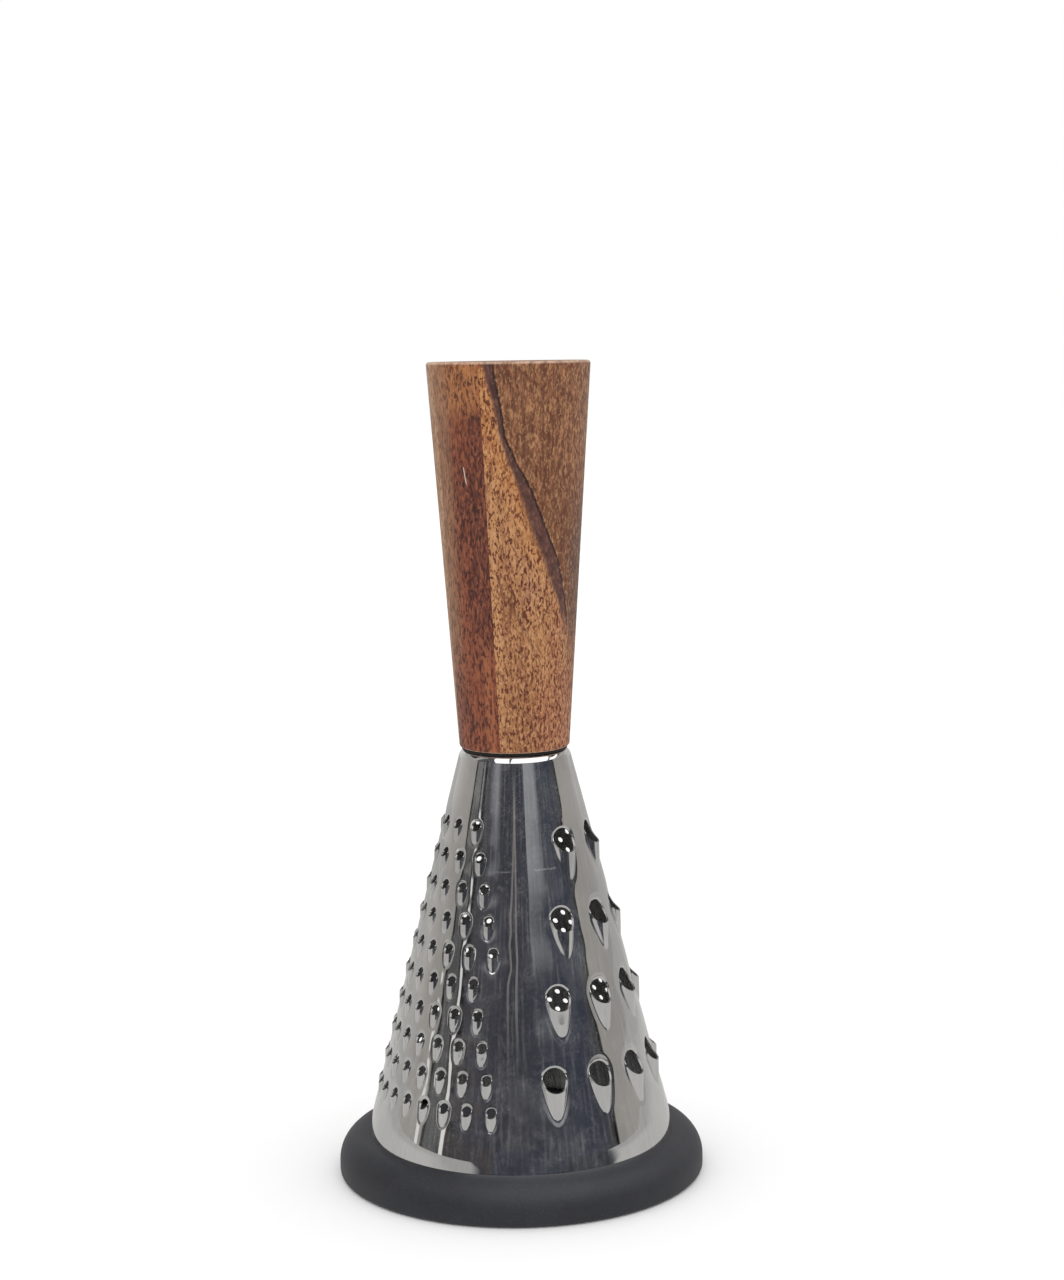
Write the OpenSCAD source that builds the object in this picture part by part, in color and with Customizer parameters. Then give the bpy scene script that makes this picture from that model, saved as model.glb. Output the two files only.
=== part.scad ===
// Cone grater with a tapered wooden handle. Millimetres, +Z up.
// The origin is on the table under the middle of the foot ring, and -Y is the front.

/* [Whole] */
// Height from the table to the flat top of the handle
total_height = 240; // [215:1:280]

/* [Handle] */
// Length of the wooden handle
handle_length = 112.4; // [90:0.2:130]
// Radius of the handle at its flat top
handle_top_r = 23.85; // [19:0.05:30]
// Radius of the handle at its lower end
handle_foot_r = 16.15; // [14:0.05:19]
// Radius of the eased edge round the top
handle_top_ease = 0.9; // [0.4:0.1:3]
// Radius of the eased edge round the lower end
handle_foot_ease = 1.6; // [0.4:0.1:2.4]
// Turn of the glue lines between the staves, in degrees
stave_turn = -33; // [-90:1:90]
// Distance from the axis to the glue line of the right stave
right_glue_offset = 5.1; // [5:0.1:10]
// Distance from the axis to the glue line of the left stave
left_glue_offset = 11.5; // [5:0.1:13]

/* [Grating cone] */
// Outer radius of the cone where its side would meet the top web
cone_top_r = 15.95; // [14.5:0.05:20]
// Height of the lower rim above the table
rim_z = 3.4; // [2.5:0.1:6]
// Height up to which the sheet stands steeper, as a band above the rim
rim_band_z = 17.4; // [14:0.1:22]
// Share of the cone's slope that is left in the band above the rim
rim_band_slope_share = 0.68; // [0.4:0.01:0.95]
// Thickness of the steel sheet
sheet_t = 0.5; // [0.4:0.05:0.8]
// Outer radius of the shoulder under the handle
shoulder_r = 3.2; // [1.2:0.1:4]
// Turn of the three grating zones from the front, in degrees
zone_turn = -2.3; // [-60:0.1:60]

/* [Coarse teeth] */
// Height of the uppermost coarse row
coarse_top_z = 102.5; // [98:0.5:108]
// Step between coarse rows
coarse_row_step = 21.7; // [19:0.1:24]
// Number of coarse rows
coarse_rows = 4; // [1:1:4]
// Teeth in the uppermost coarse row
coarse_first_count = 2; // [1:1:2]
// Distance between coarse teeth along a row
coarse_pitch = 14.6; // [12:0.1:16]
// Diameter of a coarse opening
coarse_hole_d = 7.3; // [5:0.1:8]
// Length from the middle of a coarse opening to the tip of its tongue
coarse_tongue_len = 11.4; // [9.5:0.1:13]
// Width of a coarse tongue
coarse_tongue_w = 7.8; // [7.5:0.1:9]
// Height of a coarse cutting lip above the sheet
coarse_lip_h = 2; // [1.4:0.1:2.6]

/* [Medium teeth] */
// Height of the uppermost medium row
medium_top_z = 107; // [100:0.5:110]
// Step between medium rows
medium_row_step = 8.68; // [8:0.02:9]
// Number of rows in the upper and in the lower medium band
medium_band_rows = 5; // [1:1:5]
// Teeth in the uppermost medium row
medium_first_count = 4; // [1:1:4]
// Teeth that the lower band starts short of the upper one's last row
medium_band_drop = 1; // [0:1:3]
// Distance between medium teeth along a row
medium_pitch = 7.36; // [5:0.02:7.6]
// Diameter of a medium opening
medium_hole_d = 2.8; // [2:0.1:3]
// Length from the middle of a medium opening to the tip of its tongue
medium_tongue_len = 5.2; // [4.2:0.1:6]
// Width of a medium tongue
medium_tongue_w = 3.15; // [2.8:0.05:3.6]
// Height of a medium cutting lip above the sheet
medium_lip_h = 0.9; // [0.7:0.05:1.2]

/* [Fine teeth] */
// Height of the uppermost fine row
fine_top_z = 107; // [100:0.5:110]
// Height of the lowest fine row
fine_foot_z = 29; // [24:0.5:60]
// Distance between fine teeth along a row
fine_pitch = 6.8; // [5.6:0.1:9]
// Distance between the rows of fine teeth
fine_row_step = 3.8; // [3.2:0.1:6]
// Width of the plain strip left between the grating zones
plain_strip_w = 11; // [8:0.5:16]
// Diameter of a fine hole
fine_hole_d = 1.6; // [1.2:0.1:2]

/* [Foot ring] */
// Outer radius of the ring at its widest
ring_r = 54.3; // [51:0.1:58]
// Thickness of the ring outside the cone's rim
ring_outer_t = 7.5; // [5.5:0.05:9]
// Height at which the ring is widest
ring_wide_z = 4; // [3:0.1:6]
// Height of the ring's outer lip
ring_lip_z = 12.3; // [10:0.1:16]
// Width of the outer lip where it meets the cone
ring_lip_w = 0.9; // [0.6:0.1:2]
// Height of the ring's inner lip
ring_inner_z = 9; // [7:0.1:9.8]
// Thickness of the ring inside the cone
ring_inner_t = 2; // [1.4:0.1:3]
// Radius of the rounded edge under the ring
ring_edge_r = 1.5; // [0.6:0.1:2.4]

/* [Fastening] */
// Thickness of the gasket between cone and handle
gasket_t = 0.4; // [0.3:0.05:1]
// Width by which the gasket stops short of the handle's flat end
gasket_inset = 0.3; // [0:0.1:2]
// Diameter of the fixing screw
screw_d = 5; // [4:0.1:5]
// Length of the screw under its head
screw_length = 16; // [12:0.5:20]
// Diameter of the screw's head
screw_head_d = 9.4; // [8:0.1:11]
// Height of the screw's head
screw_head_h = 3.4; // [2.6:0.1:4.5]
// Width of the blades of the cross recess
recess_blade_t = 1; // [0.6:0.1:1.4]
// Length across the cross recess
recess_len = 4.8; // [3.5:0.1:5.4]
// Depth of the cross recess
recess_depth = 2; // [1:0.1:2.4]
// Outer diameter of the flat washer
washer_d = 12.5; // [10:0.1:16]
// Thickness of the flat washer
washer_t = 1; // [0.6:0.1:2]
// Outer diameter of the split spring washer
spring_washer_d = 8.8; // [7.5:0.1:9.4]
// Thickness of the split spring washer
spring_washer_t = 1.3; // [1:0.1:2]
// Width of the split in the spring washer
split_w = 1; // [0.4:0.1:2]
// Outer diameter of the threaded insert
insert_d = 8; // [7:0.1:9]
// Length of the threaded insert
insert_length = 15; // [12:0.5:20]
// Distance between the ridges round the insert
insert_ridge_step = 1.5; // [1:0.1:3]
// Depth of the grooves between the insert's ridges
insert_ridge_h = 0.5; // [0.2:0.05:0.7]

/* [Clearances] */
// Gap all round the screw in the insert
thread_clearance = 0.1; // [0.05:0.05:0.2]
// Gap all round the screw where it passes the washers, the web and the gasket
pass_clearance = 0.3; // [0.1:0.05:0.5]
// Gap between the insert and its bore in the wood
bore_clearance = 0.05; // [0:0.01:0.2]

/* [Hidden] */
$fn = 96;
// Facets round one tooth
tooth_fn = 32;
// Steps along an eased edge
ease_steps = 6;
// Steps along the bulge of the foot ring
bulge_steps = 14;
// Share of one ridge of the insert that stands at full diameter
ridge_share = 0.4;
// Share of the screw head's height that its rounded edge takes
head_crown_share = 0.6;
// Share of the screw's radius that is bevelled off at its tip
screw_tip_share = 0.3;
// How far a cut runs past the face that it opens
overrun = 0.5;

handle_z = total_height - handle_length;
cone_top_z = handle_z - gasket_t;
// The rim of the cone lies inside the ring
cone_foot_r = ring_r - ring_outer_t;
band_rise = rim_band_z - rim_z;
cone_slope = (cone_foot_r - cone_top_r) / (cone_top_z - rim_band_z + rim_band_slope_share * band_rise);
cone_lean = atan(cone_slope);
band_slope = cone_slope * rim_band_slope_share;
band_lean = atan(band_slope);
handle_slope = (handle_top_r - handle_foot_r) / handle_length;
handle_lean = atan(handle_slope);
// The three zones stand evenly round the cone
zone_angle = 360 / 3;
medium_turn = zone_turn - zone_angle / 2;
coarse_turn = zone_turn + zone_angle / 2;
fine_turn = zone_turn + zone_angle * 3 / 2;
screw_r = screw_d / 2;
pass_r = screw_r + pass_clearance;
washer_top_z = cone_top_z - sheet_t;
spring_top_z = washer_top_z - washer_t;
head_top_z = spring_top_z - spring_washer_t;

// Outer radius of the cone at height z
function cone_r(z) =
    z > rim_band_z ? cone_top_r + cone_slope * (cone_top_z - z) : cone_foot_r - band_slope * (z - rim_z);
// Points along an arc, from one angle to another
function arc(middle, r, from, to, steps) = [
    for (i = [0:steps])
        let (a = from + (to - from) * i / steps)
        middle + r * [cos(a), sin(a)]
];
// Turn from the middle of a zone to tooth k of n, along a row at height z
function tooth_turn(k, n, pitch, z) = (k - (n - 1) / 2) * pitch / cone_r(z) * 180 / PI;
// Radius of the cylinder that presses a tongue of this width, length and lean
function tongue_r(w, reach) = (w * w / 4 + reach * reach) / (2 * reach);

// Half section of the solid cone, drawn in from the outer face by inset
module cone_section(inset, foot_z) {
    band_in = inset / cos(band_lean);
    // The inner face bends a little lower than the outer one
    bend_z = rim_band_z + (band_in - inset / cos(cone_lean)) / (cone_slope - band_slope);
    bend_r = cone_foot_r - band_slope * (bend_z - rim_z) - band_in;
    arc_z = cone_top_z - shoulder_r;
    arc_x = cone_r(arc_z) - shoulder_r / cos(cone_lean);
    polygon(concat(
        [[0, foot_z], [cone_r(foot_z) - band_in, foot_z], [bend_r, bend_z]],
        arc([arc_x, arc_z], shoulder_r - inset, cone_lean, 90, ease_steps),
        [[0, cone_top_z - inset]]
    ));
}

// Stands its children on the cone's face at each place: X along the row, Y up the slope, Z outwards
module on_cone(places) {
    for (place = places)
        rotate([0, 0, place[0]])
            translate([0, -cone_r(place[1]), place[1]])
                rotate([90 - cone_lean, 0, 0])
                    children();
}

// The leaning cylinder of a tongue, thinned by inset to give its inner side
module tongue(len, w, lean, inset, extra) {
    r = tongue_r(w, len * sin(lean));
    translate([0, -len, 0])
        rotate([lean - 90, 0, 0])
            translate([0, r, -overrun])
                cylinder(r = r - inset, h = len * cos(lean) + overrun + extra, $fn = tooth_fn);
}

// The round punch of an opening
module punch(hole_d, height) {
    translate([0, 0, -hole_d / 2])
        cylinder(d = hole_d, h = hole_d / 2 + height, $fn = tooth_fn);
}

// Places of one row of n teeth, as turns and heights
function row_places(middle, n, pitch, z) = [
    for (k = [0:n - 1]) [middle + tooth_turn(k, n, pitch, z), z]
];
function coarse_places() = [
    for (i = [0:coarse_rows - 1])
        each row_places(coarse_turn, coarse_first_count + i, coarse_pitch, coarse_top_z - i * coarse_row_step)
];
function medium_places() = [
    for (i = [0:2 * medium_band_rows - 1])
        let (n = medium_first_count + i - (i < medium_band_rows ? 0 : medium_band_drop + 1))
        each row_places(medium_turn, n, medium_pitch, medium_top_z - i * medium_row_step)
];
// Even and odd fine rows take even and odd counts, so that they stand staggered
function fine_places() = [
    for (i = [0:floor((fine_top_z - fine_foot_z) / fine_row_step)])
        let (z = fine_top_z - i * fine_row_step)
        let (width = cone_r(z) * zone_angle * PI / 180 - plain_strip_w)
        let (n = 2 * floor((width / fine_pitch + 1 - i % 2) / 2) + i % 2)
        each row_places(fine_turn, n, fine_pitch, z)
];

module grating_cone() {
    coarse_lean = atan(coarse_lip_h / (coarse_tongue_len - coarse_hole_d / 2));
    medium_lean = atan(medium_lip_h / (medium_tongue_len - medium_hole_d / 2));
    color("silver")
    difference() {
        union() {
            rotate_extrude() cone_section(0, rim_z);
            on_cone(coarse_places()) tongue(coarse_tongue_len, coarse_tongue_w, coarse_lean, 0, 0);
            on_cone(medium_places()) tongue(medium_tongue_len, medium_tongue_w, medium_lean, 0, 0);
        }
        rotate_extrude() cone_section(sheet_t, rim_z - overrun);
        on_cone(coarse_places()) {
            tongue(coarse_tongue_len, coarse_tongue_w, coarse_lean, sheet_t, overrun);
            punch(coarse_hole_d, coarse_tongue_len * tan(coarse_lean) + overrun);
        }
        on_cone(medium_places()) {
            tongue(medium_tongue_len, medium_tongue_w, medium_lean, sheet_t, overrun);
            punch(medium_hole_d, medium_tongue_len * tan(medium_lean) + overrun);
        }
        on_cone(fine_places()) punch(fine_hole_d, overrun);
        translate([0, 0, washer_top_z - overrun])
            cylinder(r = pass_r, h = sheet_t + 2 * overrun);
    }
}

// Soft ring round the rim, gripping the sheet from both sides
module foot_ring() {
    side_t = sheet_t / cos(band_lean);
    lip_r = cone_r(ring_lip_z) + ring_lip_w;
    inner_r = cone_r(ring_inner_z) - side_t - ring_inner_t;
    edge_r = min(ring_edge_r, ring_inner_t / 2);
    bulge = [
        for (i = [0:bulge_steps])
            let (a = 90 * i / bulge_steps)
            [lip_r + (ring_r - lip_r) * cos(a), ring_wide_z + (ring_lip_z - ring_wide_z) * sin(a)]
    ];
    groove = concat(
        [[cone_r(ring_lip_z), ring_lip_z]],
        ring_lip_z > rim_band_z ? [[cone_r(rim_band_z), rim_band_z]] : [],
        [
            [cone_foot_r, rim_z],
            [cone_foot_r - side_t, rim_z],
            [cone_r(ring_inner_z) - side_t, ring_inner_z]
        ]
    );
    color("dimgray")
    rotate_extrude()
        polygon(concat(
            bulge,
            groove,
            arc([inner_r + edge_r, ring_inner_z - edge_r], edge_r, 90, 180, ease_steps),
            arc([inner_r + edge_r, edge_r], edge_r, 180, 270, ease_steps),
            arc([ring_r - ring_edge_r, ring_edge_r], ring_edge_r, -90, 0, ease_steps)
        ));
}

// Outer radius of the handle at height z
function handle_r(z) = handle_foot_r + handle_slope * (z - handle_z);

// The turned handle before it is divided into its staves
module handle_body() {
    foot_arc_z = handle_z + handle_foot_ease;
    top_arc_z = total_height - handle_top_ease;
    rotate_extrude()
        polygon(concat(
            [[0, handle_z]],
            arc([handle_r(foot_arc_z) - handle_foot_ease / cos(handle_lean), foot_arc_z],
                handle_foot_ease, -90, -handle_lean, ease_steps),
            arc([handle_r(top_arc_z) - handle_top_ease / cos(handle_lean), top_arc_z],
                handle_top_ease, -handle_lean, 90, ease_steps),
            [[0, total_height]]
        ));
}

// The part of the handle between two glue planes
module stave(from, to) {
    intersection() {
        handle_body();
        rotate([0, 0, stave_turn])
            translate([from, -handle_top_r, handle_z])
                cube([to - from, 2 * handle_top_r, handle_length]);
    }
}

module handle_stave_left() {
    color("peru") stave(-handle_top_r, -left_glue_offset);
}

module handle_stave_middle() {
    color("sienna")
    difference() {
        stave(-left_glue_offset, right_glue_offset);
        translate([0, 0, handle_z - overrun])
            cylinder(r = insert_d / 2 + bore_clearance, h = insert_length + 2 * overrun);
    }
}

module handle_stave_right() {
    color("burlywood") stave(right_glue_offset, handle_top_r);
}

// Thin seal that fills the joint between the cone's top web and the handle
module seat_gasket() {
    flat_r = cone_r(cone_top_z - shoulder_r) - shoulder_r / cos(cone_lean);
    color("black")
    translate([0, 0, cone_top_z])
        difference() {
            cylinder(r = flat_r - gasket_inset, h = gasket_t);
            translate([0, 0, -overrun])
                cylinder(r = pass_r, h = gasket_t + 2 * overrun);
        }
}

// Ridged sleeve pressed into the wood, which takes the fixing screw
module threaded_insert() {
    ridges = floor(insert_length / insert_ridge_step);
    step = insert_length / ridges;
    outline = [
        for (i = [0:ridges - 1])
            each [
                [insert_d / 2, i * step],
                [insert_d / 2, (i + ridge_share) * step],
                [insert_d / 2 - insert_ridge_h, (i + 1 - ridge_share / 2) * step]
            ]
    ];
    color("goldenrod")
    translate([0, 0, handle_z])
        rotate_extrude()
            polygon(concat(
                [[screw_r + thread_clearance, 0]],
                outline,
                [[insert_d / 2 - insert_ridge_h, insert_length], [screw_r + thread_clearance, insert_length]]
            ));
}

module washer(outer_d, thickness) {
    difference() {
        cylinder(d = outer_d, h = thickness);
        translate([0, 0, -overrun])
            cylinder(r = pass_r, h = thickness + 2 * overrun);
    }
}

module flat_washer() {
    color("lightgray")
    translate([0, 0, spring_top_z])
        washer(washer_d, washer_t);
}

module spring_washer() {
    color("gray")
    translate([0, 0, head_top_z])
        difference() {
            washer(spring_washer_d, spring_washer_t);
            translate([0, -split_w / 2, -overrun])
                cube([spring_washer_d, split_w, spring_washer_t + 2 * overrun]);
        }
}

// Pan head screw, driven from inside the cone
module fixing_screw() {
    crown_r = screw_head_h * head_crown_share;
    tip = screw_r * screw_tip_share;
    color("silver")
    translate([0, 0, head_top_z])
        difference() {
            rotate_extrude()
                polygon(concat(
                    [[0, screw_length], [0, -screw_head_h]],
                    arc([screw_head_d / 2 - crown_r, crown_r - screw_head_h], crown_r, -90, 0, ease_steps),
                    [[screw_head_d / 2, 0], [screw_r, 0], [screw_r, screw_length - tip], [screw_r - tip, screw_length]]
                ));
            for (turn = [0, 90])
                rotate([0, 0, turn])
                    translate([-recess_len / 2, -recess_blade_t / 2, -screw_head_h - overrun])
                        cube([recess_len, recess_blade_t, recess_depth + overrun]);
        }
}

grating_cone();
foot_ring();
seat_gasket();
handle_stave_left();
handle_stave_middle();
handle_stave_right();
threaded_insert();
flat_washer();
spring_washer();
fixing_screw();
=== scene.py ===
"""Cone grater with a wooden handle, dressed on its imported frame."""

import math

import bmesh
import bpy
import numpy as np
from mathutils import Matrix, Vector
from mathutils.geometry import delaunay_2d_cdt


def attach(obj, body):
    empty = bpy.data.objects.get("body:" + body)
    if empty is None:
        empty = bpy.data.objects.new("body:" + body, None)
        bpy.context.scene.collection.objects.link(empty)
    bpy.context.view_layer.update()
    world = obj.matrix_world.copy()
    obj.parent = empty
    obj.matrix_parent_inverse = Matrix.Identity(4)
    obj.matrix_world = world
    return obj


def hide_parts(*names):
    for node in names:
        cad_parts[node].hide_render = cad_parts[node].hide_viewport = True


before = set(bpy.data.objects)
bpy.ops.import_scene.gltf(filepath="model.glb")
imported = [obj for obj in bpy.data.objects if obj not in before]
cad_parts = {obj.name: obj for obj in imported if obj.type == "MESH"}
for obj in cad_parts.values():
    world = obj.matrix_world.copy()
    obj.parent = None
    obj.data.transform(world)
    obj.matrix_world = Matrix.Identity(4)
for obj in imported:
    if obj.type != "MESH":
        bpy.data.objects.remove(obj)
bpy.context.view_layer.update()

MM = 0.001
DEGREES = 180 / math.pi


# Wiring of the node trees
class Wire:
    """A socket of a node tree. Sums written on it add the Math nodes that work them out."""

    def __init__(self, tree, socket=None):
        self.tree = tree
        self.socket = socket

    def make(self, kind, settings=None, inputs=None, output=0):
        """Adds a node, its settings first and then its sockets, and gives one of its outputs."""
        node = self.tree.nodes.new(kind)
        for name, value in (settings or {}).items():
            if name == "stops":
                set_stops(node.color_ramp.elements, value)
            else:
                setattr(node, name, value)
        for name, value in (inputs or {}).items():
            if isinstance(value, Wire):
                self.tree.links.new(value.socket, node.inputs[name])
            else:
                node.inputs[name].default_value = value
        return Wire(self.tree, node.outputs[output])

    def other(self, output):
        """Another output of the node that this socket is on."""
        return Wire(self.tree, self.socket.node.outputs[output])

    def apart(self):
        """The three parts of a vector."""
        first = self.make("ShaderNodeSeparateXYZ", inputs={0: self})
        return first, first.other(1), first.other(2)

    def end(self, kind, socket="Surface"):
        """Ends the tree with this socket."""
        self.tree.links.new(self.socket, self.tree.nodes.new(kind).inputs[socket])

    def sum(self, operation, *values):
        return self.make("ShaderNodeMath", {"operation": operation}, dict(enumerate(values)))

    def __add__(self, other):
        return self.sum("ADD", self, other)

    def __sub__(self, other):
        return self.sum("SUBTRACT", self, other)

    def __rsub__(self, other):
        return self.sum("SUBTRACT", other, self)

    def __mul__(self, other):
        return self.sum("MULTIPLY", self, other)

    def __truediv__(self, other):
        return self.sum("DIVIDE", self, other)

    def __neg__(self):
        return self.sum("MULTIPLY", self, -1.0)

    def __abs__(self):
        return self.sum("ABSOLUTE", self)

    __radd__ = __add__
    __rmul__ = __mul__

    def rise(self, low, high):
        """0 below low, 1 above high, and a smooth step between them."""
        return self.make(
            "ShaderNodeMapRange",
            {"interpolation_type": "SMOOTHSTEP"},
            {"Value": self, "From Min": low, "From Max": high},
        )

    def fade(self, low, high):
        """1 below low, 0 above high, and a smooth step between them."""
        return 1.0 - self.rise(low, high)

    def span(self, start, full, fading, end):
        """Rises from start to full, and fades again from fading to end."""
        return self.rise(start, full) * self.fade(fading, end)

    def blend(self, first, second):
        """The first colour where this is 0, and the second where it is 1."""
        return self.make("ShaderNodeMix", {"data_type": "RGBA"}, {0: self, 6: first, 7: second}, 2)


def set_stops(elements, stops):
    """Gives a colour ramp its stops, each a place from 0 to 1 and a colour."""
    while len(elements) > 1:
        elements.remove(elements[-1])
    for number, (place, colour) in enumerate(stops):
        stop = elements[0] if number == 0 else elements.new(place)
        stop.position = place
        stop.color = (*colour, 1)


def rgba(red, green, blue):
    """A colour as it is seen on a screen, 0 to 255, as the light value that a shader takes."""
    parts = [c / 255 for c in (red, green, blue)]
    return (*(c / 12.92 if c <= 0.04045 else ((c + 0.055) / 1.055) ** 2.4 for c in parts), 1)


def turn_of(east, north):
    """Turn round the upright axis in radians, 0 at the front and more to the right."""
    return east.sum("ARCTAN2", east, -north)


def reach_of(east, north):
    """Distance from the upright axis."""
    return east.sum("SQRT", east * east + north * north)


def into_scene(name, data):
    made = bpy.data.objects.new(name, data)
    bpy.context.scene.collection.objects.link(made)
    return made


# Camera
CAMERA_PLACE = (0.0056135, -0.70396, 0.24487)
CAMERA_PITCH, CAMERA_ROLL = 0.1218, -0.016
# The film's longer side in millimetres and in pixels, and the lens in the same pixels
FILM_MM, FILM_PIXELS, LENS_PIXELS = 36, 1280, 2421.71


def make_camera():
    camera = into_scene("camera", bpy.data.cameras.new("camera"))
    # An unturned camera looks straight down, and its pitch is counted down from level
    pitch = Matrix.Rotation(math.pi / 2 - CAMERA_PITCH, 4, "X")
    camera.matrix_world = Matrix.Translation(CAMERA_PLACE) @ pitch @ Matrix.Rotation(CAMERA_ROLL, 4, "Z")
    camera.data.sensor_width = FILM_MM
    camera.data.lens = FILM_MM * LENS_PIXELS / FILM_PIXELS
    camera.data.clip_start = 0.01
    camera.data.clip_end = 50
    bpy.context.scene.camera = camera
    bpy.context.scene.view_settings.view_transform = "Standard"


# Room and floor
# What polished steel sees round it: turn from the front in degrees, and light
ROUND_LIGHT = [
    (-180, (0.521, 0.521, 0.521)), (-158, (0.798, 0.798, 0.79)), (-143, (0.655, 0.651, 0.634)),
    (-128, (0.58, 0.563, 0.542)), (-113, (0.496, 0.47, 0.445)), (-97, (0.42, 0.399, 0.37)),
    (-83, (0.386, 0.37, 0.344)), (-82, (0.02, 0.02, 0.02)), (-80, (0.02, 0.02, 0.02)),
    (-78.5, (0.12, 0.12, 0.12)), (-67, (0.11, 0.11, 0.115)), (-65.5, (0.03, 0.03, 0.03)),
    (-57, (0.03, 0.03, 0.035)), (-54, (0.078, 0.077, 0.085)), (-46, (0.085, 0.085, 0.098)),
    (-33, (0.07, 0.071, 0.088)), (-17, (0.058, 0.059, 0.074)), (32, (0.066, 0.069, 0.088)),
    (49, (0.07, 0.076, 0.1)), (62, (0.052, 0.059, 0.082)), (70, (0.075, 0.078, 0.09)),
    (76, (0.06, 0.06, 0.065)), (76.5, (0.015, 0.015, 0.015)), (79, (0.015, 0.015, 0.015)),
    (79.5, (0.4, 0.38, 0.356)), (97, (0.416, 0.4, 0.376)), (112, (0.416, 0.4, 0.38)),
    (127, (0.448, 0.436, 0.424)), (142, (0.624, 0.604, 0.596)), (157, (0.664, 0.64, 0.62)),
    (180, (0.496, 0.496, 0.496)),
]
WARM_DARK, BLUE_DARK = (0.082, 0.074, 0.077, 1), (0.055, 0.06, 0.083, 1)
HIGH_GREY = (0.22, 0.217, 0.21, 1)
LOW_SLIT, HIGH_SLIT = (0.95, 0.94, 0.92, 1), (0.24, 0.235, 0.23, 1)
BAND_GREY, LINE_GREY = (0.36, 0.365, 0.39, 1), (0.3, 0.28, 0.27, 1)
CEILING_DARK, CEILING_PALE = (0.085, 0.088, 0.10, 1), (0.5, 0.495, 0.485, 1)
CEILING_STRIP, LAMP = (0.02, 0.02, 0.022, 1), (1.8, 1.8, 1.8, 1)
WHITE = (1, 1, 1, 1)
# What the steel sees in the floor, from the middle outwards; the dark middle is painted shade under the cone
INSIDE_DARK, INSIDE_RIM = (0.015, 0.015, 0.015, 1), (0.11, 0.11, 0.115, 1)
NEAR_PAPER, FAR_PAPER = (0.62, 0.615, 0.60, 1), (0.5, 0.495, 0.48, 1)
FRONT_DARK = (0.052, 0.055, 0.068, 1)
FLOOR_HALF = 6


def wall_light(net, front, height):
    """The walls, by the turn from the front in degrees and by how steeply the steel looks up."""
    # The pale wall on the right starts further round the higher the steel looks
    looked = front - front.span(45, 60, 110, 140) * height.rise(0.15, 0.185) * 6.5
    light = net.make(
        "ShaderNodeValToRGB",
        {"stops": [((turn + 180) / 360, tone) for turn, tone in ROUND_LIGHT]},
        {0: looked / 360 + 0.5},
    )
    # Low down, the dark wall in front has a warm half and a blue half
    low = height.fade(0.15, 0.175) * front.span(-70, -60, 50, 75)
    light = (low * 0.8).blend(light, front.rise(-21.5, -19.5).blend(WARM_DARK, BLUE_DARK))
    # The dark beside the pale wall on the left is lighter high up, and has two narrow bright gaps
    upper = front.span(-79.5, -79, -67, -66) * height.rise(0.19, 0.23)
    light = upper.blend(light, HIGH_GREY)
    slit = front.span(-64.5, -63.7, -61.3, -60.5)
    slit = slit + front.span(-88, -87.5, -85, -84.5) * height.fade(0.08, 0.11)
    light = slit.blend(light, height.rise(0.2, 0.23).blend(LOW_SLIT, HIGH_SLIT))
    # Two soft pale bands stand high at the front, and show only on the cone's upper half
    left_band = abs(front + 36).fade(2, 13) * height.rise(0.235, 0.3)
    right_band = front.span(15, 16.8, 33, 44) * height.rise(0.21, 0.315)
    bands = (left_band * 0.7 + right_band) * height.fade(0.34, 0.4)
    light = bands.blend(light, BAND_GREY)
    # Two thin lines in the middle lean together as they rise
    lean = height.rise(0.24, 0.31) * 7.5 - 10.5
    for line in (front - lean, front + 1.5):
        thin = abs(line).fade(0.5, 1.9) * height.span(0.19, 0.25, 0.305, 0.33)
        light = (thin * 0.8).blend(light, LINE_GREY)
    return light


def ceiling_light(net, walls, east, north, height):
    """The walls with the ceiling over them."""
    above = net.sum("MAXIMUM", height, 0.05)
    wide, deep = east / above, -(north / above)
    # A light hangs over the front, in lengths with a dark gap between them
    left_end = (wide + deep * 0.62 + 0.43).rise(0, 0.06)
    right_end = (deep * 1.45 - wide + 1.2).rise(0, 0.06)
    gap = abs(wide + deep * 0.15 + 0.05).rise(0.02, 0.05)
    lamp = left_end * right_end * gap * deep.rise(-0.35, -0.27) * height.rise(0.41, 0.45)
    last_end = (wide - deep * 1.45 - 1.35).rise(0, 0.05) * (deep * 1.45 - wide + 2.3).rise(0, 0.05)
    lamp = lamp + last_end * height.span(0.43, 0.47, 0.62, 0.66)
    # The ceiling is dark over the front, pale at the sides and the back, with a darker strip behind the light
    overhead = height.rise(0.36, 0.42)
    light = overhead.blend(walls, CEILING_DARK)
    aside = deep.fade(-0.1, 0.1) * abs(wide).rise(0.5, 0.8)
    pale = net.sum("MAXIMUM", deep.fade(-1.1, -0.8), aside) * overhead
    light = pale.blend(light, CEILING_PALE)
    strip = deep.span(-1.35, -1.2, -0.36, -0.3) * height.rise(0.5, 0.6)
    light = strip.blend(light, CEILING_STRIP)
    return lamp.blend(light, LAMP)


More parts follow.
